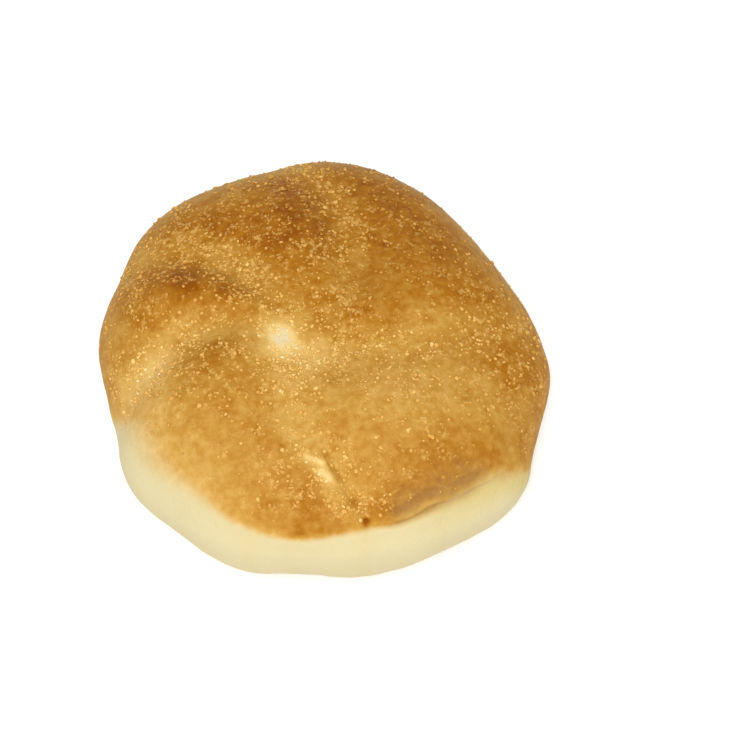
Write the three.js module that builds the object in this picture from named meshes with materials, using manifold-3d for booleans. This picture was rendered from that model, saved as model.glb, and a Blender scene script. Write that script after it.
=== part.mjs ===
// A swirled bread roll: one round of dough, stamped into five curved petals round an off-centre hub,
// baked brown on top and left pale round its side, with coarse cornmeal stuck to the crust.
// Millimetres, +Z up. The origin is the middle of the flat underside.

import * as THREE from "three";
import { mergeVertices } from "three/addons/utils/BufferGeometryUtils.js";
import Module from "manifold-3d";

// ---- The round of dough before it is stamped ----
const MEAN_RADIUS = 53.3; // at its widest level
const HEIGHT = 45.7; // of the plain dome, before the petals rise and the hub sinks
const WIDEST_LEVEL = 23.6;
const FOOT_SHARE = 0.795; // radius of the flat underside, as a share of the widest radius
const SIDE_ROUNDNESS = 1.87; // how late the side turns in towards the foot
const FOOT_ROUNDNESS = 0.67; // below 1, the side rounds off where it meets the underside
const DOME_BREADTH = 0.757; // below 1, the top is broader than an ellipse
const DOME_SHOULDER = 1.08; // above 1, the shoulder falls sooner than an ellipse's
const MIDDLE = { x: 1.07, y: 2.23 }; // middle of the finished roll's own box, which becomes the origin

// How the plan outline strays from a circle: so many lobes, so far out, the first one towards a bearing.
const SWELLS = [
  { lobes: 2, swell: 2.22, toward: -65.8 },
  { lobes: 3, swell: 1.41, toward: -24.8 },
  { lobes: 4, swell: 0.57, toward: -26.6 },
  { lobes: 5, swell: 0.97, toward: 3.8 },
  { lobes: 6, swell: 0.18, toward: 15.2 },
  { lobes: 7, swell: 0.17, toward: -2.2 },
  { lobes: 8, swell: 0.21, toward: -3.5 },
  { lobes: 9, swell: 0.31, toward: 5.5 },
  { lobes: 10, swell: 0.38, toward: -6.6 },
  { lobes: 11, swell: 0.13, toward: -12.9 },
];

// ---- The stamp: a hub and five grooves that curve out from it, with a petal after each ----
const HUB = { x: -3.7, y: -6.9, dimpleX: 1.2, dimpleY: -2.4, depth: 3.2, width: 10.5 };
const GROOVES = [
  { rim: 1, sweep: 20, depth: 0.6, rimDepth: 0.4, width: 7 },
  { rim: 102, sweep: 67, depth: 0.9, rimDepth: 0.4, width: 7 },
  { rim: 154, sweep: 37, depth: 1.1, rimDepth: 0.4, width: 6.5 },
  { rim: 203, sweep: 55, depth: 1.4, rimDepth: 1.1, width: 6.5 },
  { rim: 284, sweep: 38, depth: 1.1, rimDepth: 0.9, width: 6 },
];
const PETAL = { rise: 2.7, sunk: 0.5, skew: 0.85, rimShare: 0.35 };

// The brown cap stands out a little over the pale side. It reaches down past the widest level, but ends
// higher in front, where the roll touched its neighbour, and its edge waves by so much at a bearing.
const CAP = { level: 21.5, overhang: 0.8, fall: 4, frontRise: 10.2 };
const CAP_FRONT = { starts: 191, full: 208, falls: 312, ends: 338 };
const CAP_WAVES = [
  { toward: 212, breadth: 10, rise: 2.6 },
  { toward: 234, breadth: 12, rise: 2 },
  { toward: 263, breadth: 9, rise: -2 },
  { toward: 30, breadth: 20, rise: 1.2 },
  { toward: 75, breadth: 16, rise: -1.4 },
  { toward: 140, breadth: 18, rise: 1.6 },
];

// The last groove is a seam: the petal before it ends in a lip over a narrow crease.
const SEAM = { groove: 4, start: 0.54, end: 0.96, lip: 0.7, lipPlace: -3.4, lipWidth: 2.6 };
const CREASE = { depth: 0.6, width: 2.2 };

// ---- The coarsest grains of cornmeal, fused to the crust but clear of the cap's edge ----
const GRAINS = { tries: 240, smallest: 0.36, largest: 0.58, sunk: 0.3, clearOfEdge: 2 };
const BARE_PATCHES = [
  { share: 0.9, bearing: 226, breadth: 15 },
  { share: 0.93, bearing: 318, breadth: 10 },
  { share: 0.96, bearing: 48, breadth: 10 },
  { share: 0.45, bearing: 287, breadth: 7 },
  { share: 0.43, bearing: 28, breadth: 8 },
  { share: 0.94, bearing: 262, breadth: 7 },
];

// ---- Mesh steps ----
const COLUMNS = 100;
const MEAN_SWEEP = GROOVES.reduce((sum, groove) => sum + groove.sweep / GROOVES.length, 0);
const DOME_ROWS = 24;
const SIDE_ROWS = 7;
const UNDERSIDE_ROWS = 2;

const RIGHT_ANGLE = Math.PI / 2;
const TURN = 2 * Math.PI;
const radians = THREE.MathUtils.degToRad;
const ease = THREE.MathUtils.smoothstep;

// The same draw between 0 and 1 for the same grain and purpose, each time the roll is made.
function draw(grain, purpose) {
  const wave = Math.sin(grain * 12.9898 + purpose * 78.233) * 43758.5453;
  return wave - Math.floor(wave);
}

// ---- The plain round: a dome over its widest level and a side under it ----

function domeShare(angle) {
  return Math.sin(angle) ** DOME_BREADTH;
}

function domeLevel(angle) {
  return WIDEST_LEVEL + (HEIGHT - WIDEST_LEVEL) * Math.cos(angle) ** DOME_SHOULDER;
}

function sideShare(level) {
  const up = 1 - (1 - level / WIDEST_LEVEL) ** SIDE_ROUNDNESS;
  return FOOT_SHARE + (1 - FOOT_SHARE) * up ** FOOT_ROUNDNESS;
}

// ---- What the stamp and the oven did to it ----

function outline(bearing) {
  let radius = MEAN_RADIUS;
  for (const { lobes, swell, toward } of SWELLS) {
    radius += swell * Math.cos(lobes * (bearing - radians(toward)));
  }
  return radius;
}

function grooveBearing(groove, share) {
  return radians(groove.rim) - radians(groove.sweep) * (1 - share);
}

// An angle between two bearings, from minus half a turn to half a turn.
function bearingBetween(from, to) {
  return THREE.MathUtils.euclideanModulo(to - from + Math.PI, TURN) - Math.PI;
}

// How far along its petal a bearing lies, from 0 at the groove before it to 1 at the groove after it.
function petalShare(share, bearing) {
  for (let i = 0; i < GROOVES.length; i += 1) {
    const start = grooveBearing(GROOVES[i], share);
    const end = grooveBearing(GROOVES[(i + 1) % GROOVES.length], share);
    const span = THREE.MathUtils.euclideanModulo(end - start, TURN);
    const along = THREE.MathUtils.euclideanModulo(bearing - start, TURN);
    if (along < span) return along / span;
  }
  return 0;
}

function grooveDistance(groove, share, bearing) {
  return bearingBetween(grooveBearing(groove, share), bearing) * share * MEAN_RADIUS;
}

function bell(distance, width) {
  return Math.exp(-((distance / width) ** 2));
}

function seamRelief(share, bearing) {
  const run = ease(share, SEAM.start, 0.64) * (1 - ease(share, 0.88, SEAM.end));
  const distance = grooveDistance(GROOVES[SEAM.groove], share, bearing);
  const lip = SEAM.lip * bell(distance - SEAM.lipPlace, SEAM.lipWidth);
  return run * (lip - CREASE.depth * bell(distance, CREASE.width));
}

// How far the crust stands out from the plain round.
function relief(share, bearing) {
  const swell = 0.5 - 0.5 * Math.cos(TURN * petalShare(share, bearing) ** PETAL.skew) - PETAL.sunk;
  const petalFade = ease(share, 0.08, 0.55) * (1 - (1 - PETAL.rimShare) * ease(share, 0.6, 1));
  let out = PETAL.rise * swell * petalFade;
  for (const groove of GROOVES) {
    const depth = THREE.MathUtils.lerp(groove.depth, groove.rimDepth, ease(share, 0.6, 1));
    out -= depth * ease(share, 0.08, 0.45) * bell(grooveDistance(groove, share, bearing), groove.width);
  }
  const offX = share * MEAN_RADIUS * Math.cos(bearing) - HUB.dimpleX;
  const offY = share * MEAN_RADIUS * Math.sin(bearing) - HUB.dimpleY;
  return out + seamRelief(share, bearing) - HUB.depth * bell(Math.hypot(offX, offY), HUB.width);
}

// The level at which the brown cap ends.
function capLevel(bearing) {
  const degrees = THREE.MathUtils.radToDeg(THREE.MathUtils.euclideanModulo(bearing, TURN));
  const entered = ease(degrees, CAP_FRONT.starts, CAP_FRONT.full);
  const left = ease(degrees, CAP_FRONT.falls, CAP_FRONT.ends);
  let level = CAP.level + CAP.frontRise * entered * (1 - left);
  for (const { toward, breadth, rise } of CAP_WAVES) {
    level += rise * bell(bearingBetween(radians(toward), bearing), radians(breadth));
  }
  return level;
}

// The finished place of the point that lay at this share, dome angle and level on the plain round.
function risen(plainShare, angle, level, bearing) {
  const onDome = level >= WIDEST_LEVEL;
  const share = onDome ? plainShare : 1;
  const fade = onDome ? 1 : (level / WIDEST_LEVEL) ** 0.6;
  const lift = relief(share, bearing) * fade;
  const cap = capLevel(bearing);
  const underCap = (1 - ease(level, cap - CAP.fall, cap + 1)) * ease(level, 0, 6);
  const reach = outline(bearing) * plainShare + lift * Math.sin(angle) - CAP.overhang * underCap;
  const towardHub = (1 - share ** 2) ** 2;
  return new THREE.Vector3(
    HUB.x * towardHub + reach * Math.cos(bearing) - MIDDLE.x,
    HUB.y * towardHub + reach * Math.sin(bearing) - MIDDLE.y,
    level + lift * Math.cos(angle),
  );
}

function onCrust(angle, bearing) {
  return risen(domeShare(angle), angle, domeLevel(angle), bearing);
}

// ---- Solids ----

// Joins the vertices that a three.js geometry keeps apart and drops the faces left without area.
function closedBody(geometry) {
  const bare = geometry.clone().deleteAttribute("normal").deleteAttribute("uv");
  const merged = mergeVertices(bare, 1e-4);
  const faces = merged.index.array;
  const kept = [];
  for (let i = 0; i < faces.length; i += 3) {
    const [a, b, c] = [faces[i], faces[i + 1], faces[i + 2]];
    if (a !== b && b !== c && c !== a) kept.push(a, b, c);
  }
  merged.setIndex(kept);
  return merged;
}

// A lathe of the plain round, whose points are then moved to where the risen crust is.
// Its columns lean as the grooves do, so that few grooves cross them.
function doughGeometry() {
  const rings = [];
  for (let i = 0; i <= UNDERSIDE_ROWS; i += 1) {
    rings.push({ share: (FOOT_SHARE * i) / UNDERSIDE_ROWS, angle: RIGHT_ANGLE, level: 0 });
  }
  for (let i = 1; i < SIDE_ROWS; i += 1) {
    const level = WIDEST_LEVEL * (i / SIDE_ROWS) ** 1.5;
    rings.push({ share: sideShare(level), angle: RIGHT_ANGLE, level });
  }
  for (let i = DOME_ROWS; i >= 0; i -= 1) {
    const angle = RIGHT_ANGLE * (i / DOME_ROWS) ** 1.2;
    rings.push({ share: domeShare(angle), angle, level: domeLevel(angle) });
  }
  const profile = rings.map(({ share, level }) => new THREE.Vector2(share * MEAN_RADIUS, level));
  const lathe = new THREE.LatheGeometry(profile, COLUMNS);
  const places = lathe.getAttribute("position");
  for (let i = 0; i < places.count; i += 1) {
    const { share, angle, level } = rings[i % rings.length];
    const rimBearing = (TURN * (Math.floor(i / rings.length) % COLUMNS)) / COLUMNS;
    const lean = level < WIDEST_LEVEL ? 0 : radians(MEAN_SWEEP) * (1 - share);
    places.setXYZ(i, ...risen(share, angle, level, rimBearing - lean));
  }
  return closedBody(lathe);
}

// How far a point lies from a spot given by its share and its bearing in degrees.
function spotDistance(share, bearing, spot) {
  const spotX = spot.share * Math.cos(radians(spot.bearing));
  const spotY = spot.share * Math.sin(radians(spot.bearing));
  return MEAN_RADIUS * Math.hypot(share * Math.cos(bearing) - spotX, share * Math.sin(bearing) - spotY);
}

// How thickly the cornmeal lies, from 0 to 1: thickest in the hub and the grooves.
function dusting(share, bearing) {
  let thickness = 0.5 + 0.5 * bell(share * MEAN_RADIUS, 11);
  for (const groove of GROOVES) {
    thickness = Math.max(thickness, 0.5 + 0.35 * bell(grooveDistance(groove, share, bearing), 9));
  }
  for (const patch of BARE_PATCHES) {
    thickness *= 1 - 0.85 * bell(spotDistance(share, bearing, patch), patch.breadth);
  }
  return thickness;
}

function grainGeometry(grain, angle, bearing) {
  const size = THREE.MathUtils.lerp(GRAINS.smallest, GRAINS.largest, draw(grain, 2));
  const place = onCrust(angle, bearing);
  const along = onCrust(angle, bearing + 0.01).sub(place);
  const outward = onCrust(angle + 0.01, bearing).sub(place).cross(along).normalize();
  const chip = new THREE.IcosahedronGeometry(size, 0);
  chip.scale(1, 0.7 + 0.3 * draw(grain, 3), 0.7 + 0.2 * draw(grain, 4));
  chip.rotateX(TURN * draw(grain, 5)).rotateY(TURN * draw(grain, 6)).rotateZ(TURN * draw(grain, 7));
  const centre = place.addScaledVector(outward, size * (0.5 - GRAINS.sunk));
  return closedBody(chip.translate(centre.x, centre.y, centre.z));
}

// The places are a sunflower spiral, so they lie evenly, and the dusting thins them out.
function grainGeometries() {
  const goldenTurn = Math.PI * (3 - Math.sqrt(5));
  const made = [];
  for (let grain = 0; grain < GRAINS.tries; grain += 1) {
    const share = 0.98 * Math.sqrt((grain + 0.5) / GRAINS.tries);
    const bearing = (grain * goldenTurn) % TURN;
    const angle = Math.asin(share ** (1 / DOME_BREADTH));
    const onCap = domeLevel(angle) > capLevel(bearing) + GRAINS.clearOfEdge;
    if (onCap && draw(grain, 1) <= dusting(share, bearing)) made.push(grainGeometry(grain, angle, bearing));
  }
  return made;
}

const wasm = await Module();
wasm.setup();

function toSolid(geometry) {
  const vertProperties = geometry.getAttribute("position").array;
  const triVerts = new Uint32Array(geometry.index.array);
  return new wasm.Manifold(new wasm.Mesh({ numProp: 3, vertProperties, triVerts }));
}

function toGeometry(solid) {
  const { vertProperties, triVerts } = solid.getMesh();
  const geometry = new THREE.BufferGeometry();
  geometry.setAttribute("position", new THREE.BufferAttribute(vertProperties, 3));
  geometry.setIndex(new THREE.BufferAttribute(triVerts, 1));
  geometry.computeVertexNormals();
  return geometry;
}

// ---- The roll: one piece, so one mesh ----

function breadRoll() {
  let solid = toSolid(doughGeometry());
  for (const grain of grainGeometries()) {
    solid = solid.add(toSolid(grain));
  }
  const crust = new THREE.MeshStandardMaterial({ color: 0xc98f45, roughness: 0.55, metalness: 0 });
  const mesh = new THREE.Mesh(toGeometry(solid), crust);
  mesh.name = "bread_roll";
  return mesh;
}

const part = new THREE.Group();
part.add(breadRoll());

export default part;
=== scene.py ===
# A swirled bread roll: browned on top, pale round its side, with cornmeal stuck to the crust.
# Blender metres, +Z up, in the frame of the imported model. Sizes marked in mm are turned to metres by MM.
import math

import bmesh
import bpy
import numpy as np
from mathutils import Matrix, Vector, noise


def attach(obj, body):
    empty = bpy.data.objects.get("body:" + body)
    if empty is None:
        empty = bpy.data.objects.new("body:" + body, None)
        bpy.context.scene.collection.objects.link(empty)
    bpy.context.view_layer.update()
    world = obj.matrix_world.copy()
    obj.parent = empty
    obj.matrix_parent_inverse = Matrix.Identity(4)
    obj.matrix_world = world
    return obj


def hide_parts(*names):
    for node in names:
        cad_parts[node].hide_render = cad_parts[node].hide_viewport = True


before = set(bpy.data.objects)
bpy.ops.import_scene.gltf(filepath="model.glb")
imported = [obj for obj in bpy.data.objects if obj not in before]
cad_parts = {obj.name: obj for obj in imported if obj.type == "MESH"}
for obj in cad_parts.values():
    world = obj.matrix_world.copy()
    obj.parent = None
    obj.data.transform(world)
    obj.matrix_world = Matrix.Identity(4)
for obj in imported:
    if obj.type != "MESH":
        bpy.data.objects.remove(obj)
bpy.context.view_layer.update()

MM = 0.001
TURN = 2 * math.pi

# ----------------------------------------------------------------------------------------------------
# The crust: the skin of one round of wheat dough, proved until it domes and set on its flat underside.
# A stamp presses a hub and five curved grooves into the top, and the petals between them rise and brown
# in the oven. The side is kept pale by its neighbours, and the underside toasts on the baking sheet.
# ----------------------------------------------------------------------------------------------------

# A place on the roll is its share of the way out from hub to rim, and its bearing counter-clockwise
# from +X, so that the front is at 270. Bearings are degrees in the values, and radians in functions.

# The round of dough before it is stamped, in mm, and the middle of the finished roll's own box, which
# becomes the origin.
mean_radius = 53.3
height = 45.7
widest_level = 23.6
foot_share = 0.795
side_roundness = 1.87
foot_roundness = 0.67
dome_breadth = 0.757
dome_shoulder = 1.08
middle = (1.07, 2.23)

# How the plan outline strays from a circle: lobes, swell in mm, and the bearing of the first lobe.
swells = [
    (2, 2.22, -65.8),
    (3, 1.41, -24.8),
    (4, 0.57, -26.6),
    (5, 0.97, 3.8),
    (6, 0.18, 15.2),
    (7, 0.17, -2.2),
    (8, 0.21, -3.5),
    (9, 0.31, 5.5),
    (10, 0.38, -6.6),
    (11, 0.13, -12.9),
]

# The stamp: the hub, and the bearing at the rim, sweep, depth, depth at the rim and width of each groove.
hub = dict(x=-3.7, y=-6.9, dimple_x=1.2, dimple_y=-2.4, depth=3.2, width=10.5)
grooves = [
    dict(rim=1.0, sweep=20, depth=0.6, rim_depth=0.4, width=7.0),
    dict(rim=102.0, sweep=67, depth=0.9, rim_depth=0.4, width=7.0),
    dict(rim=154.0, sweep=37, depth=1.1, rim_depth=0.4, width=6.5),
    dict(rim=203.0, sweep=55, depth=1.4, rim_depth=1.1, width=6.5),
    dict(rim=284.0, sweep=38, depth=1.1, rim_depth=0.9, width=6.0),
]
petal = dict(rise=2.7, sunk=0.5, skew=0.85, rim_share=0.35)

# The brown cap reaches down past the widest level, but ends higher in front, where the roll touched
# its neighbour: from which bearing to which, and by how much. Its edge also waves: bearing, breadth
# in degrees, and rise in mm.
cap = dict(level=21.5, overhang=0.8, fall=4.0, front_rise=10.2)
cap_front = dict(starts=191, full=208, falls=312, ends=338)
cap_waves = [(212, 10, 2.6), (234, 12, 2.0), (263, 9, -2.0), (30, 20, 1.2), (75, 16, -1.4), (140, 18, 1.6)]

# The side lies in below the cap by its overhang, but bulges out again at two places: bearing and
# breadth in degrees, and by how many overhangs.
bulges = [(204, 11, 1.0), (322, 9, 2.3)]

# The last groove is a seam between two shares of the way out: a lip beside a narrow crease, which
# starts to the side and swings in, and is shallower further out. Lip and crease are in mm.
seam = dict(groove=4, starts=0.54, full=0.64, falls=0.88, ends=0.96)
seam_lip = dict(rise=0.7, place=-2.1, width=1.7)
seam_crease = dict(depth=0.9, width=0.6, swing=2.6, shallower=0.6)

# Small dents along the seam: share of the way out, bearing, breadth and depth in mm.
dents = [
    (0.684, 269.8, 0.8, 0.45),
    (0.765, 273.6, 0.8, 0.35),
    (0.836, 278.4, 0.9, 0.45),
    (0.865, 281.5, 0.8, 0.35),
    (0.912, 280.4, 0.65, 0.8),
]

# Creases and a ridge just above the edge of the cap: how far above it, breadth and rise in mm. Then
# the bearings between which they run.
edge_folds = [(0.6, 0.6, -0.60), (1.6, 0.6, 0.30), (3.0, 0.8, -0.55)]
edge_fold_run = dict(starts=284, full=292, falls=310, ends=322)

# Rows and columns of the crust's mesh. They stand closer where the seam's lips and dents and the folds
# at the edge are: rows at a share of the way down the dome, and columns toward a bearing.
columns = 440
dome_rows = 174
side_rows = 40
underside_rows = 12
closer_rows = dict(at=0.70, over=0.11, by=1.3)
closer_columns = dict(toward=285, by=0.3)


def ease(value, start, end):
    """0 before start, 1 after end, and smooth between."""
    share = np.clip((value - start) / (end - start), 0, 1)
    return share * share * (3 - 2 * share)


def within(value, run):
    """1 within a run of values, 0 beyond its ends, and smooth between."""
    return ease(value, run["starts"], run["full"]) * (1 - ease(value, run["falls"], run["ends"]))


def bell(distance, width):
    return np.exp(-((distance / width) ** 2))


def dome_share(angle):
    return np.sin(angle) ** dome_breadth


def dome_level(angle):
    return widest_level + (height - widest_level) * np.clip(np.cos(angle), 0, 1) ** dome_shoulder


def side_share(level):
    up = 1 - (1 - level / widest_level) ** side_roundness
    return foot_share + (1 - foot_share) * up ** foot_roundness


def plan_radius(bearing):
    strays = [swell * np.cos(lobes * (bearing - math.radians(toward))) for lobes, swell, toward in swells]
    return mean_radius + sum(strays)


def groove_bearing(groove, share):
    return math.radians(groove["rim"]) - math.radians(groove["sweep"]) * (1 - share)


def bearing_between(start, end):
    return np.mod(end - start + math.pi, TURN) - math.pi


def groove_distance(groove, share, bearing):
    """How far to the side of a groove a point lies, in mm, positive counter-clockwise."""
    return bearing_between(groove_bearing(groove, share), bearing) * share * mean_radius


def petal_place(share, bearing):
    """Which petal a point is on, and how far along it from the groove before it to the one after it."""
    number = np.zeros(np.broadcast(share, bearing).shape, int)
    along = np.zeros(number.shape)
    for i, groove in enumerate(grooves):
        start = groove_bearing(groove, share)
        span = np.mod(groove_bearing(grooves[(i + 1) % len(grooves)], share) - start, TURN)
        past = np.mod(bearing - start, TURN)
        inside = past < span
        number = np.where(inside, i, number)
        along = np.where(inside, past / span, along)
    return number, along


def spot_distance(share, bearing, spot_share, spot_bearing):
    """How far a point lies from a spot given by its share and its bearing in degrees, in mm."""
    spot_x = spot_share * math.cos(math.radians(spot_bearing))
    spot_y = spot_share * math.sin(math.radians(spot_bearing))
    return mean_radius * np.hypot(share * np.cos(bearing) - spot_x, share * np.sin(bearing) - spot_y)


def spot_changes(share, bearing, spots):
    """What a list of spots adds at a place. Each spot is its share, bearing, breadth and change."""
    return sum(
        change * bell(spot_distance(share, bearing, spot_share, spot_bearing), breadth)
        for spot_share, spot_bearing, breadth, change in spots
    )


def facing(bearing, toward, breadth):
    """1 at a bearing in degrees, and less to both sides of it, over a breadth in degrees."""
    return bell(bearing_between(math.radians(toward), bearing), math.radians(breadth))


def facing_changes(bearing, places):
    """What a list of places round the roll adds. Each place is its bearing, breadth and change."""
    return sum(change * facing(bearing, toward, breadth) for toward, breadth, change in places)


def crease_distance(share, bearing):
    """How far to the side of the seam's crease a point lies, in mm."""
    swing = seam_crease["swing"] * (1 - ease(share, 0.5, 0.94))
    return groove_distance(grooves[seam["groove"]], share, bearing) - swing


def seam_relief(share, bearing):
    """The seam's lip, crease and dents, in mm."""
    distance = crease_distance(share, bearing)
    lip = seam_lip["rise"] * bell(distance - seam_lip["place"], seam_lip["width"])
    depth = seam_crease["depth"] * (1 - seam_crease["shallower"] * ease(share, 0.72, 0.82))
    torn = lip - depth * bell(distance, seam_crease["width"])
    return within(share, seam) * torn - spot_changes(share, bearing, dents)


def stamped_relief(share, bearing):
    """How far the crust stands out from the plain round, in mm."""
    along = petal_place(share, bearing)[1]
    swell = 0.5 - 0.5 * np.cos(TURN * along ** petal["skew"]) - petal["sunk"]
    fade = ease(share, 0.08, 0.55) * (1 - (1 - petal["rim_share"]) * ease(share, 0.6, 1))
    out = petal["rise"] * swell * fade
    for groove in grooves:
        depth = groove["depth"] + (groove["rim_depth"] - groove["depth"]) * ease(share, 0.6, 1)
        distance = groove_distance(groove, share, bearing)
        out = out - depth * ease(share, 0.08, 0.45) * bell(distance, groove["width"])
    off_x = share * mean_radius * np.cos(bearing) - hub["dimple_x"]
    off_y = share * mean_radius * np.sin(bearing) - hub["dimple_y"]
    return out + seam_relief(share, bearing) - hub["depth"] * bell(np.hypot(off_x, off_y), hub["width"])


def between_bearings(bearing, run):
    return within(np.degrees(np.mod(bearing, TURN)), run)


def cap_level(bearing):
    """The level at which the brown cap ends and the pale side begins, in mm."""
    higher = cap["front_rise"] * between_bearings(bearing, cap_front)
    return cap["level"] + higher + facing_changes(bearing, cap_waves)


def edge_relief(level, bearing):
    """The creases and the ridge above the edge, in mm. They waver, and are deeper in some stretches."""
    run = between_bearings(bearing, edge_fold_run)
    above = level - cap_level(bearing) + 0.3 * np.sin(13 * bearing) + 0.2 * np.sin(31 * bearing + 1)
    broken = 0.7 + 0.3 * np.sin(23 * bearing + 2) * np.sin(11 * bearing)
    return run * broken * sum(rise * bell(above - place, breadth) for place, breadth, rise in edge_folds)


def risen(plain_share, angle, level, bearing, more=0):
    """The finished place, in mm, of a point of the plain round. More is extra relief along the normal."""
    share = np.where(level >= widest_level, plain_share, 1)
    fade = np.clip(level / widest_level, 0, 1) ** 0.6
    lift = stamped_relief(share, bearing) * fade + edge_relief(level, bearing) + more
    edge = cap_level(bearing)
    under_cap = (1 - ease(level, edge - cap["fall"], edge + 1)) * ease(level, 0, 6)
    for toward, breadth, overhangs in bulges:
        under_cap = under_cap * (1 - overhangs * facing(bearing, toward, breadth))
    reach = plan_radius(bearing) * plain_share + lift * np.sin(angle) - cap["overhang"] * under_cap
    toward_hub = (1 - share**2) ** 2
    x = hub["x"] * toward_hub + reach * np.cos(bearing) - middle[0]
    y = hub["y"] * toward_hub + reach * np.sin(bearing) - middle[1]
    z = level + lift * np.cos(angle) + 0 * bearing
    return np.stack([x, y, z], axis=-1)


def wrinkle(places, size, seed):
    """Smooth noise from about -1 to 1 at each place in mm, with swellings of about that size."""
    step = Vector((seed * 17.3, seed * 5.1, seed * 9.7))
    return np.array([noise.noise(Vector(place) / size + step) for place in places])


def skin_relief(places):
    """The skin's own unevenness in mm: broad swellings, and smaller ones within them."""
    return 0.30 * wrinkle(places, 15, 1) + 0.11 * wrinkle(places, 5.5, 2)


def crust_rings():
    """The rings of the crust's mesh as share, dome angle and level, from the hub down to the foot and in."""
    way = np.arange(1, dome_rows + 1) / dome_rows
    steps = way**0.3 / (1 + closer_rows["by"] * bell(way - closer_rows["at"], closer_rows["over"]))
    angles = 0.5 * math.pi * np.cumsum(steps) / sum(steps)
    dome = [(float(dome_share(a)), a, float(dome_level(a))) for a in angles]
    levels = widest_level * (1 - np.arange(1, side_rows + 1) / side_rows) ** 1.35
    side = [(float(side_share(v)), 0.5 * math.pi, v) for v in levels]
    inward = foot_share * (1 - np.arange(1, underside_rows) / underside_rows)
    underside = [(share, 0.5 * math.pi, 0.0) for share in inward]
    return np.array(dome + side + underside)


def closed_mesh(name, places, rings, middles):
    """A closed mesh of rings of points, with a point in the middle of the first and of the last ring."""
    first = len(places)
    faces = []
    for row in range(rings - 1):
        for column in range(columns):
            right = (column + 1) % columns
            here, below = row * columns, (row + 1) * columns
            faces.append((here + column, below + column, below + right, here + right))
    last = (rings - 1) * columns
    for column in range(columns):
        right = (column + 1) % columns
        faces.append((column, right, first))
        faces.append((last + right, last + column, first + 1))
    mesh = bpy.data.meshes.new(name)
    mesh.from_pydata(np.vstack([places, middles]) * MM, [], faces)
    mesh.validate()
    mesh.shade_smooth()
    return mesh


def add_values(mesh, name, values):
    """Keeps one number for each point of a mesh, which its material reads by this name."""
    mesh.attributes.new(name, "FLOAT", "POINT").data.foreach_set("value", values.astype(np.float32))


rings = crust_rings()
share, angle, level = rings[:, 0:1], rings[:, 1:2], rings[:, 2:3]
mean_sweep = math.radians(sum(groove["sweep"] for groove in grooves) / len(grooves))
on_dome = level >= widest_level
lean = np.where(on_dome, mean_sweep * (1 - np.minimum(share, 1)), 0)
evenly = TURN * np.arange(columns)[None, :] / columns
drawn_in = closer_columns["by"] * np.sin(evenly - math.radians(closer_columns["toward"]))
bearing = evenly - drawn_in - lean
top_share = np.where(on_dome, share, 1)

# The skin stretches down the pale side in faint upright wrinkles.
plain = risen(share, angle, level, bearing).reshape(-1, 3)
upright = plain * [1, 1, 0.12]
below_cap = 1 - ease(level - cap_level(bearing), -5, 0)
skin = (skin_relief(plain) + 0.05 * wrinkle(plain, 2.2, 3)).reshape(bearing.shape)
stretched = 0.16 * wrinkle(upright, 4.0, 7).reshape(bearing.shape) * below_cap
places = risen(share, angle, level, bearing, (skin + stretched) * ease(level, 0, 4)).reshape(-1, 3)
places[:, 2] = np.maximum(places[:, 2], 0)
middles = [places[:columns].mean(axis=0), places[-columns:].mean(axis=0)]
crust_mesh = closed_mesh("bread_crust", places, len(rings), middles)

# How far the oven browned the crust: 0 is bare cream dough, 1 is the deepest brown. The rows are for
# the crown of each petal, for each groove, and how many mm counter-clockwise of the groove's lowest
# line its palest line lies, in the order of the grooves above. That palest line lies on the groove's
# wall that faces the light: partly paler dough, and partly painted light.
petal_browning = [0.85, 0.90, 0.80, 0.70, 0.62]
groove_browning = [0.63, 0.75, 0.68, 0.55, 0.53]
pale_and_lit_lines = [2.3, -1.4, -3.2, -2.4, -1.0]
hub_browning = 0.56
rim_browning = 0.65
edge_browning = 0.30
foot_browning = 0.50
underside_browning = 0.70

# Spots that are browner or paler than what lies round them: share, bearing, breadth in mm, and change.
spots = [
    # The first two spots pale the hub: paler dough, with a painted highlight over it.
    (0.07, 296, 4.6, -0.13),
    (0.09, 168, 4.5, -0.52),
    # This spot is painted shade on the far wall of the hub's dimple.
    (0.12, 95, 8.0, 0.16),
    (0.13, 322, 5.0, -0.10),
    (0.20, 225, 7.0, -0.04),
    (0.25, 18, 8.0, 0.17),
    (0.33, 92, 5.0, -0.09),
    (0.35, 152, 6.0, 0.15),
    (0.37, 31, 7.0, -0.15),
    (0.41, 192, 6.0, 0.08),
    (0.45, 136, 5.0, -0.09),
    (0.50, 320, 10.0, -0.06),
    (0.54, 17, 7.0, -0.09),
    (0.58, 97, 7.0, 0.07),
    (0.60, 153, 6.0, 0.17),
    (0.66, 0, 6.0, 0.03),
    (0.70, 166, 6.0, -0.03),
    (0.70, 298, 10.0, 0.05),
    (0.74, 135, 7.0, 0.06),
    (0.78, 60, 7.0, -0.03),
    (0.80, 116, 11.0, -0.14),
    (0.80, 195, 9.0, -0.27),
    (0.80, 240, 9.0, -0.14),
    (0.84, 350, 9.0, 0.16),
    (0.86, 215, 10.0, -0.10),
    (0.87, 306, 9.0, 0.25),
    (0.88, 266, 7.0, 0.10),
    (0.90, 290, 7.0, 0.18),
    (0.92, 92, 8.0, -0.05),
    (1.00, 70, 16.0, 0.10),
]

# The two lips of the seam are pale dough that tore open late, with a painted highlight on them as well.
# Two of the dents are painted darker inside, and so is the crease, as a thin line along the first part
# of the seam: painted shade in the hollows.
pale_lit_lips = [
    (0.644, 266.0, 1.1, -0.24),
    (0.654, 268.8, 1.1, -0.26),
    (0.664, 271.2, 1.0, -0.24),
    (0.704, 269.8, 1.3, -0.26),
    (0.730, 272.2, 1.5, -0.36),
]
shaded_dents = [(0.838, 278.5, 1.6, 0.06), (0.912, 280.4, 0.9, 0.42)]
crease_shade = dict(starts=0.56, full=0.62, falls=0.70, ends=0.82, width=0.45, change=0.12)


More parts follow.
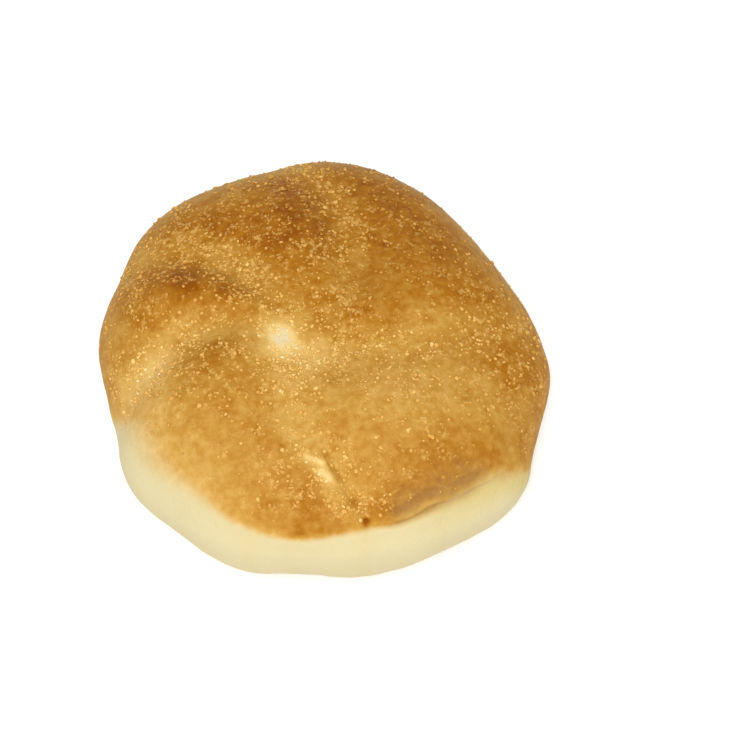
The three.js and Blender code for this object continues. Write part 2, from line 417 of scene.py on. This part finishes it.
def browning_and_light(share, bearing):
    """How brown the cap is at a place, before its small patches. Painted light and shade are mixed in:
    highlights on the hub and the seam's lips, the lit walls of the grooves, and shade on the hub's far
    wall and in the seam's crease and dents.
    """
    number, along = petal_place(share, bearing)
    before = np.array(groove_browning)[number]
    after = np.roll(groove_browning, -1)[number]
    in_groove = before + (after - before) * along
    to_line = [groove_distance(groove, share, bearing) - off for groove, off in zip(grooves, pale_and_lit_lines)]
    past = np.choose(number, to_line)
    ahead = -np.choose((number + 1) % len(grooves), to_line)
    on_crown = ease(past, 1, 10) * ease(ahead, 1, 7)
    out = in_groove + (np.array(petal_browning)[number] - in_groove) * on_crown
    out = rim_browning + (out - rim_browning) * (1 - 0.9 * ease(share, 0.72, 1))
    out = hub_browning + (out - hub_browning) * ease(share, 0.05, 0.42)
    out = out + spot_changes(share, bearing, spots + pale_lit_lips + shaded_dents)
    line = within(share, crease_shade) * bell(crease_distance(share, bearing), crease_shade["width"])
    return out + crease_shade["change"] * line


# Broad and small patches lie over that browning.
patches = 0.05 * wrinkle(plain, 11, 8) + 0.045 * wrinkle(plain, 4.5, 9)
cap_bake_and_light = browning_and_light(top_share, bearing) + patches.reshape(bearing.shape)

# The browning ends at an uneven edge, over this many mm up and down. The edge is softer at two
# places and lies lower at one: bearing, breadth in degrees, and by how many mm.
edge_softness = 0.9
softer_edge = [(213, 22, 3.6), (313, 12, 2.0)]
lower_edge = [(327, 9, 2.4)]
blur = edge_softness + facing_changes(bearing, softer_edge)
uneven = 0.45 * wrinkle(plain, 9, 4) + 0.30 * wrinkle(plain, 3.5, 13)
edge = cap_level(bearing) - facing_changes(bearing, lower_edge) + uneven.reshape(bearing.shape)
in_cap = ease(level, edge - blur, edge + blur)

# The cap pales toward its edge, except on the folds. Their creases are painted darker and their ridge paler:
# painted shade and painted light on the folds.
crisp = 0.8 * between_bearings(bearing, edge_fold_run) * in_cap
near_edge = (1 - ease(level, edge - blur, edge + 2.5 * blur)) * (1 - crisp)
paler = 0.75 * (edge_browning - cap_bake_and_light) * near_edge
cap_bake_and_light = cap_bake_and_light + paler - 0.5 * edge_relief(level, bearing)

# The foot and the underside are toasted.
in_foot = 1 - ease(level, 0.1, 2.2)
under_foot = ease(foot_share - np.minimum(share, foot_share), 0, 0.2)
foot_bake = foot_browning + (underside_browning - foot_browning) * under_foot
bake_and_light = cap_bake_and_light * (1 - in_foot) + foot_bake * in_foot

# The pale side is painted olive and darker just below the cap, most at the right of the front: partly
# a yellow tint, and partly painted shade under the cap's overhang. It is also olive in faint upright
# streaks. The same olive is painted along the folds above the edge as painted shade, and on the rim
# at the back as a dull painted sheen.
olive_shares = dict(below_cap=0.15, at_right=0.65, streaks=0.25, folds=0.35, back_rim=0.20)
pale_side = (1 - in_cap) * (1 - in_foot)
just_below = 1 - ease(edge - level, 0, 8)
tint_and_shade = just_below * (olive_shares["below_cap"] + olive_shares["at_right"] * facing(bearing, 318, 18))
streaks = np.clip(wrinkle(upright, 5, 14), 0, 1).reshape(bearing.shape)
tint_and_shade = tint_and_shade + olive_shares["streaks"] * streaks * (1 - tint_and_shade)
on_folds = between_bearings(bearing, edge_fold_run) * bell(level - edge, 5) * in_cap
back_rim = ease(top_share, 0.80, 0.96) * facing(bearing, 85, 65) * in_cap
olive = tint_and_shade * pale_side + olive_shares["folds"] * on_folds + olive_shares["back_rim"] * back_rim
add_values(crust_mesh, "bake_and_light", np.append(bake_and_light.reshape(-1), [bake_and_light[0].mean(), bake_and_light[-1].mean()]))
add_values(crust_mesh, "pale_side", np.append(pale_side.reshape(-1), [0, 0]))
add_values(crust_mesh, "olive", np.append(olive.reshape(-1), [0, 0]))

# Where the cornmeal lies thin: share, bearing and breadth in mm.
bare_patches = [
    (0.90, 226, 15),
    (0.93, 318, 10),
    (0.96, 48, 10),
    (0.45, 287, 7),
    (0.43, 28, 8),
    (0.94, 262, 7),
]


def dusting(share, bearing):
    """How thickly the cornmeal lies, from 0 to 1: thickest in the hub and the grooves."""
    thickness = 0.5 + 0.5 * bell(share * mean_radius, 11)
    for groove in grooves:
        thickness = np.maximum(thickness, 0.5 + 0.35 * bell(groove_distance(groove, share, bearing), 9))
    for spot_share, spot_bearing, breadth in bare_patches:
        near = bell(spot_distance(share, bearing, spot_share, spot_bearing), breadth)
        thickness = thickness * (1 - 0.85 * near)
    return thickness


# Where the finest meal lies thicker or thinner than the rest: share, bearing, breadth in mm, and change.
meal_drifts = [
    (0.07, 306, 5, 0.9),
    # The meal thins in the hub where its painted highlight lies.
    (0.09, 168, 4, -0.5),
    (0.30, 10, 12, 0.3),
    (0.44, 131, 6, 0.7),
    (0.55, 150, 8, -1.0),
    (0.62, 131, 8, 0.7),
    (0.62, 258, 14, -0.5),
    (0.70, 140, 14, 0.5),
    (0.73, 254, 5, 0.9),
    (0.75, 20, 18, -0.5),
    (0.81, 265, 4, 1.5),
    (0.82, 300, 12, -0.7),
    (0.83, 277, 4, 1.3),
    (0.85, 242, 12, -0.5),
]


def drifts(share, bearing, places):
    """How the finest meal drifts together and leaves gaps, as a share of its mean thickness."""
    gathered = 1.2 * wrinkle(places, 8, 6) + 1.8 * wrinkle(places, 3.0, 11) + 0.8 * wrinkle(places, 1.5, 12)
    out = 1 + gathered.reshape(np.shape(bearing)) + spot_changes(share, bearing, meal_drifts)
    return np.clip(out, 0.35, 2.6)


def fine_dusting(share, level, bearing, places):
    """How thickly the finest meal lies: in drifts, and none of it on the pale side."""
    stops_short = ease(level - cap_level(bearing), 0.5, 5)
    return dusting(share, bearing) * drifts(share, bearing, places) * stops_short


meal = fine_dusting(top_share, level, bearing, plain)
add_values(crust_mesh, "meal", np.append(meal.reshape(-1), [meal[0].mean(), 0]))

crust = bpy.data.objects.new("bread_crust", crust_mesh)
bpy.context.scene.collection.objects.link(crust)


def paint(red, green, blue):
    """A colour given as 0 to 255, as Blender's sockets hold it."""
    shares = [value / 255 for value in (red, green, blue)]
    return [v / 12.92 if v <= 0.04045 else ((v + 0.055) / 1.055) ** 2.4 for v in shares] + [1.0]


def new_group(name, sockets):
    """An empty shader node group. Each socket is its name, INPUT or OUTPUT, and its kind."""
    group = bpy.data.node_groups.new(name, "ShaderNodeTree")
    for label, direction, kind in sockets:
        group.interface.new_socket(label, in_out=direction, socket_type=kind)
    return group, group.nodes.new("NodeGroupInput"), group.nodes.new("NodeGroupOutput")


def add_noise(tree, scale, detail):
    """A noise texture in the object's own coordinates, with features of about 1 / scale metres."""
    coordinates = tree.nodes.new("ShaderNodeTexCoord")
    texture = tree.nodes.new("ShaderNodeTexNoise")
    texture.inputs["Scale"].default_value = scale
    texture.inputs["Detail"].default_value = detail
    tree.links.new(coordinates.outputs["Object"], texture.inputs["Vector"])
    return texture


def add_math(tree, operation, first, second):
    """A Math node. Each operand is a number or a socket."""
    node = tree.nodes.new("ShaderNodeMath")
    node.operation = operation
    for socket, value in zip(node.inputs, (first, second)):
        if isinstance(value, (int, float)):
            socket.default_value = value
        else:
            tree.links.new(value, socket)
    return node.outputs[0]


def add_ramp(tree, factor, stops):
    """A colour ramp. Each stop is its place and its colour."""
    node = tree.nodes.new("ShaderNodeValToRGB")
    ramp = node.color_ramp
    ramp.elements[0].position, ramp.elements[0].color = stops[0]
    ramp.elements[1].position, ramp.elements[1].color = stops[-1]
    for place, colour in stops[1:-1]:
        ramp.elements.new(place).color = colour
    tree.links.new(factor, node.inputs["Fac"])
    return node.outputs["Color"]


# Oven mottle: how an oven browns unevenly, as blotches over an even browning.
mottle, mottle_in, mottle_out = new_group(
    "oven_mottle",
    [
        ("Bake", "INPUT", "NodeSocketFloat"),
        ("Strength", "INPUT", "NodeSocketFloat"),
        ("Bake", "OUTPUT", "NodeSocketFloat"),
    ],
)
blotches = add_noise(mottle, 240, 3)
freckles = add_noise(mottle, 620, 3)
both = add_math(mottle, "ADD", blotches.outputs["Fac"], freckles.outputs["Fac"])
centred = add_math(mottle, "SUBTRACT", both, 1.0)
weight = add_math(mottle, "MULTIPLY", centred, mottle_in.outputs["Strength"])
browned_share = add_math(mottle, "MINIMUM", mottle_in.outputs["Bake"], 0.5)
weight = add_math(mottle, "MULTIPLY", weight, add_math(mottle, "MULTIPLY", browned_share, 2.0))
mottle.links.new(add_math(mottle, "ADD", weight, mottle_in.outputs["Bake"]), mottle_out.inputs["Bake"])


def add_group(tree, group, values):
    node = tree.nodes.new("ShaderNodeGroup")
    node.node_tree = group
    for label, value in values.items():
        node.inputs[label].default_value = value
    return node


def add_attribute(tree, name):
    node = tree.nodes.new("ShaderNodeAttribute")
    node.attribute_name = name
    return node.outputs["Fac"]


def add_mix(tree, factor, first, second):
    """A mix of two colours. The second is a fixed colour."""
    node = tree.nodes.new("ShaderNodeMix")
    node.data_type = "RGBA"
    tree.links.new(factor, node.inputs["Factor"])
    tree.links.new(first, node.inputs["A"])
    node.inputs["B"].default_value = second
    return node.outputs["Result"]


def add_bump(tree, height_socket, distance):
    node = tree.nodes.new("ShaderNodeBump")
    node.inputs["Distance"].default_value = distance
    tree.links.new(height_socket, node.inputs["Height"])
    return node.outputs["Normal"]


crust_colours = [
    (0.00, paint(197, 187, 154)),
    (0.12, paint(204, 187, 146)),
    (0.26, paint(210, 180, 112)),
    (0.40, paint(193, 154, 83)),
    (0.60, paint(175, 129, 53)),
    (0.80, paint(155, 100, 21)),
    (1.00, paint(130, 71, 4)),
]
dough_colour = paint(195, 182, 142)
olive_colour = paint(186, 167, 102)
meal_colour = paint(224, 183, 106)
crust_skin = bpy.data.materials.new("baked_crust")
crust_skin.use_nodes = True
tree = crust_skin.node_tree
shader = tree.nodes["Principled BSDF"]
mottled_bake_and_light = add_group(tree, mottle, {"Strength": 0.37})
tree.links.new(add_attribute(tree, "bake_and_light"), mottled_bake_and_light.inputs["Bake"])
bake_and_light_colour = add_ramp(tree, mottled_bake_and_light.outputs["Bake"], crust_colours)

# The very finest meal is too small to model: it shows as pale flecks in the skin where the meal lies.
flecks = dict(scale=850, threshold=0.53, contrast=3.0, strongest=0.42)
fleck_noise = add_noise(tree, flecks["scale"], 2)
above_threshold = add_math(tree, "SUBTRACT", fleck_noise.outputs["Fac"], flecks["threshold"])
sharpened = add_math(tree, "MULTIPLY", above_threshold, flecks["contrast"])
fleck = add_math(tree, "MULTIPLY", sharpened, add_attribute(tree, "meal"))
speck_share = add_math(tree, "MINIMUM", add_math(tree, "MAXIMUM", fleck, 0.0), flecks["strongest"])
dusted = add_mix(tree, speck_share, bake_and_light_colour, meal_colour)
bare_dough = add_mix(tree, add_attribute(tree, "pale_side"), dusted, dough_colour)
skin_colour = add_mix(tree, add_attribute(tree, "olive"), bare_dough, olive_colour)
tree.links.new(skin_colour, shader.inputs["Base Color"])

# The crust is smoother where it is browner, and has fine pores.
smoothed = add_math(tree, "MULTIPLY", mottled_bake_and_light.outputs["Bake"], -0.22)
tree.links.new(add_math(tree, "ADD", smoothed, 0.68), shader.inputs["Roughness"])
shader.inputs["Specular IOR Level"].default_value = 0.05
pores = add_noise(tree, 1000, 4)
rough_height = add_math(tree, "ADD", pores.outputs["Fac"], speck_share)
tree.links.new(add_bump(tree, rough_height, 0.0002), shader.inputs["Normal"])
crust_mesh.materials.append(crust_skin)

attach(crust, "root")
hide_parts("bread_roll")

# ----------------------------------------------------------------------------------------------------
# The coarse cornmeal: cracked chips of dried maize, about a millimetre across, cream to gold. The wet
# dough is dipped in them face down before it is stamped, so they are baked fast, half sunk in the crust.
# ----------------------------------------------------------------------------------------------------
chips = dict(tries=240, smallest=0.36, largest=0.58, sunk=0.3, clear_of_edge=2.0)


def draw(grain, purpose):
    """The same draw between 0 and 1 for the same grain and purpose."""
    wave = np.sin(grain * 12.9898 + purpose * 78.233) * 43758.5453
    return wave - np.floor(wave)


def sunflower(tries):
    """Evenly spread places on the dome as share and bearing."""
    grain = np.arange(tries)
    golden_turn = math.pi * (3 - math.sqrt(5))
    return 0.98 * np.sqrt((grain + 0.5) / tries), np.mod(grain * golden_turn, TURN)


def dome_angle(share):
    return np.arcsin(np.minimum(share, 1) ** (1 / dome_breadth))


def crust_frames(share, bearing):
    """Place in mm and outward direction of the finished crust at each share and bearing."""

    def place(angle, bearing):
        bare = risen(dome_share(angle), angle, dome_level(angle), bearing)
        return risen(dome_share(angle), angle, dome_level(angle), bearing, skin_relief(bare))

    angle = dome_angle(share)
    here = place(angle, bearing)
    outward = np.cross(place(angle + 0.01, bearing) - here, place(angle, bearing + 0.01) - here)
    return here, outward / np.linalg.norm(outward, axis=1, keepdims=True)


def turned(points, about_x, about_y, about_z):
    """Points turned about x, then y, then z."""
    x, y, z = points.T
    y, z = y * math.cos(about_x) - z * math.sin(about_x), y * math.sin(about_x) + z * math.cos(about_x)
    x, z = x * math.cos(about_y) + z * math.sin(about_y), z * math.cos(about_y) - x * math.sin(about_y)
    x, y = x * math.cos(about_z) - y * math.sin(about_z), x * math.sin(about_z) + y * math.cos(about_z)
    return np.stack([x, y, z], axis=1)


def pressed_flat(points, outward):
    """Points of a grain pressed to two thirds of its thickness against the crust."""
    return points - 0.33 * (points @ outward)[:, None] * outward


def chip_shape(subdivisions):
    """Points and faces of a ball of triangles one unit in radius, to be squeezed into a chip."""
    ball = bmesh.new()
    bmesh.ops.create_icosphere(ball, subdivisions=subdivisions, radius=1)
    points = np.array([vertex.co for vertex in ball.verts])
    faces = np.array([[vertex.index for vertex in face.verts] for face in ball.faces])
    ball.free()
    return points, faces


def toasted(share, bearing, chance):
    """The tone of a grain, from 0 to 1: darker where the crust's colour is darker, painted shade included,
    and palest in the hub.
    """
    sheltered = 0.45 * (dusting(share, bearing) - 0.6)
    return 0.84 - 0.90 * browning_and_light(share, bearing) + 0.38 * chance**3 + sheltered


def add_grain_piece(name, grains, tones, shape_faces, material):
    """Adds one object of many joined grains, each an array of points in mm, with a tone for each."""
    size = len(grains[0])
    faces = np.concatenate([shape_faces + size * i for i in range(len(grains))])
    mesh = bpy.data.meshes.new(name)
    mesh.from_pydata(np.vstack(grains) * MM, [], faces.tolist())
    add_values(mesh, "tone", np.repeat(tones, size))
    mesh.materials.append(material)
    piece = bpy.data.objects.new(name, mesh)
    bpy.context.scene.collection.objects.link(piece)
    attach(piece, "root")


maize_colours = [
    (0.00, paint(180, 128, 50)),
    (0.45, paint(209, 162, 81)),
    (0.75, paint(222, 186, 112)),
    (1.00, paint(224, 206, 158)),
]
maize = bpy.data.materials.new("toasted_cornmeal")
maize.use_nodes = True
tree = maize.node_tree
shader = tree.nodes["Principled BSDF"]
maize_bake = add_group(tree, mottle, {"Strength": 0.25})
tree.links.new(add_attribute(tree, "tone"), maize_bake.inputs["Bake"])
tree.links.new(add_ramp(tree, maize_bake.outputs["Bake"], maize_colours), shader.inputs["Base Color"])
shader.inputs["Roughness"].default_value = 0.60
shader.inputs["Specular IOR Level"].default_value = 0.15
grit_noise = add_noise(tree, 2500, 2)
tree.links.new(add_bump(tree, grit_noise.outputs["Fac"], 0.0002), shader.inputs["Normal"])

grain = np.arange(chips["tries"])
chip_share, chip_bearing = sunflower(chips["tries"])
clear = dome_level(dome_angle(chip_share)) > cap_level(chip_bearing) + chips["clear_of_edge"]
kept = clear & (draw(grain, 1) <= dusting(chip_share, chip_bearing))
grain, chip_share, chip_bearing = grain[kept], chip_share[kept], chip_bearing[kept]
chip_places, chip_outward = crust_frames(chip_share, chip_bearing)
chip_points, chip_faces = chip_shape(2)
coarse = []
for i, place, outward in zip(grain, chip_places, chip_outward):
    size = chips["smallest"] + (chips["largest"] - chips["smallest"]) * draw(i, 2)
    squeezed = chip_points * [1, 0.7 + 0.3 * draw(i, 3), 0.7 + 0.2 * draw(i, 4)]
    worn = squeezed * (1 + 0.14 * wrinkle(squeezed + 3.0 * i, 0.9, 5))[:, None]
    chip = pressed_flat(turned(worn * size, *[TURN * draw(i, purpose) for purpose in (5, 6, 7)]), outward)
    coarse.append(chip + place + outward * size * (0.4 - chips["sunk"]))
coarse_tones = toasted(chip_share, chip_bearing, draw(grain, 8))
add_grain_piece("coarse_cornmeal", coarse, coarse_tones, chip_faces, maize)

# ----------------------------------------------------------------------------------------------------
# The cornmeal grit: cracked grains of the same dip, half to one millimetre across, with sharp corners.
# They stick all over the cap, closer together in the grooves, and stop short of the pale side.
# ----------------------------------------------------------------------------------------------------
grit = dict(tries=11000, density=0.48, smallest=0.24, largest=0.56, stands_out=0.15, duller=0.02)
seeded = np.random.default_rng(5)
grit_points, grit_faces = chip_shape(1)

# How far a grain strays from its evenly spread place: in share, and in radians round the roll.
stray_share = 0.006
stray_bearing = 0.02


def scattered(sizes):
    """Grains strewn over the dome where the meal lies, as arrays of points in mm, and their tones."""
    share, bearing = sunflower(sizes["tries"])
    share = np.clip(share + seeded.normal(0, stray_share, sizes["tries"]), 0.01, 0.985)
    bearing = bearing + seeded.normal(0, stray_bearing, sizes["tries"])
    level = dome_level(dome_angle(share))
    bare = risen(share, dome_angle(share), level, bearing)
    kept = seeded.random(sizes["tries"]) < sizes["density"] * fine_dusting(share, level, bearing, bare)
    share, bearing = share[kept], bearing[kept]
    grains = []
    for place, outward in zip(*crust_frames(share, bearing)):
        size = sizes["smallest"] + (sizes["largest"] - sizes["smallest"]) * seeded.random() ** 1.5
        squeezed = grit_points * size * seeded.uniform(0.5, 1.2, 3)
        cracked = squeezed * seeded.uniform(0.8, 1.15, (len(grit_points), 1))
        grit_chip = pressed_flat(turned(cracked, *(TURN * seeded.random(3))), outward)
        grains.append(grit_chip + place + outward * size * sizes["stands_out"])
    return grains, toasted(share, bearing, seeded.random(len(grains))) - sizes["duller"]


grit_grains, grit_tones = scattered(grit)
add_grain_piece("cornmeal_grit", grit_grains, grit_tones, grit_faces, maize)

# ----------------------------------------------------------------------------------------------------
# The fine cornmeal: the meal of the same dip, less than half a millimetre across. It lies in
# drifts between the grit, thickest where the stamp pressed and thinnest where the petals stretched.
# ----------------------------------------------------------------------------------------------------
fine_meal = dict(tries=11000, density=0.30, smallest=0.15, largest=0.24, stands_out=0.15, duller=0.14)
fine_grains, fine_tones = scattered(fine_meal)
add_grain_piece("fine_cornmeal", fine_grains, fine_tones, grit_faces, maize)

# ----------------------------------------------------------------------------------------------------
# The table, the light and the camera: a plain white table under an even white sky, with a large soft box
# above the front and a small flash nearer the camera, which looks down on the roll from the front.
# ----------------------------------------------------------------------------------------------------
table_mesh = bpy.data.meshes.new("table_top")
half_side = 3.0
corners = [(half_side * x, half_side * y, 0) for x, y in ((-1, -1), (1, -1), (1, 1), (-1, 1))]
table_mesh.from_pydata(corners, [], [(0, 1, 2, 3)])
table = bpy.data.objects.new("table_top", table_mesh)
bpy.context.scene.collection.objects.link(table)
table_white = bpy.data.materials.new("white_table")
table_white.use_nodes = True
table_white.node_tree.nodes["Principled BSDF"].inputs["Base Color"].default_value = (0.93, 0.93, 0.93, 1)
table_white.node_tree.nodes["Principled BSDF"].inputs["Roughness"].default_value = 0.9
table_mesh.materials.append(table_white)

scene = bpy.context.scene
scene.view_settings.view_transform = "Standard"
world = bpy.data.worlds.new("studio")
world.use_nodes = True
world.node_tree.nodes["Background"].inputs["Color"].default_value = (1, 1, 1, 1)
world.node_tree.nodes["Background"].inputs["Strength"].default_value = 0.81
scene.world = world


def add_lamp(name, place, aim, size, power):
    light = bpy.data.lights.new(name, "AREA")
    light.size = size
    light.energy = power
    lamp = bpy.data.objects.new(name, light)
    lamp.location = place
    lamp.rotation_euler = (Vector(aim) - Vector(place)).to_track_quat("-Z", "Y").to_euler()
    bpy.context.scene.collection.objects.link(lamp)


add_lamp("softbox", (-0.05, -0.70, 0.76), (0, 0, 0.03), 1.10, 4.95)
add_lamp("flash", (-0.05, -0.40, 0.70), (0, 0, 0.03), 0.12, 2.6)

# The camera stands on an arc about the middle of the roll, and aims a little to the right of it.
camera_rise = math.radians(58)
camera_distance = 0.45
arc_middle = Vector((-0.00116, -0.00226, 0.02000))
aimed_at = Vector((0.01168, -0.00380, 0.01947))
camera_data = bpy.data.cameras.new("camera")
camera_data.sensor_width = 36
camera_data.lens = 92.0
camera = bpy.data.objects.new("camera", camera_data)
camera.location = arc_middle + camera_distance * Vector((0, -math.cos(camera_rise), math.sin(camera_rise)))
camera.rotation_euler = (aimed_at - camera.location).to_track_quat("-Z", "Y").to_euler()
scene.collection.objects.link(camera)
scene.camera = camera
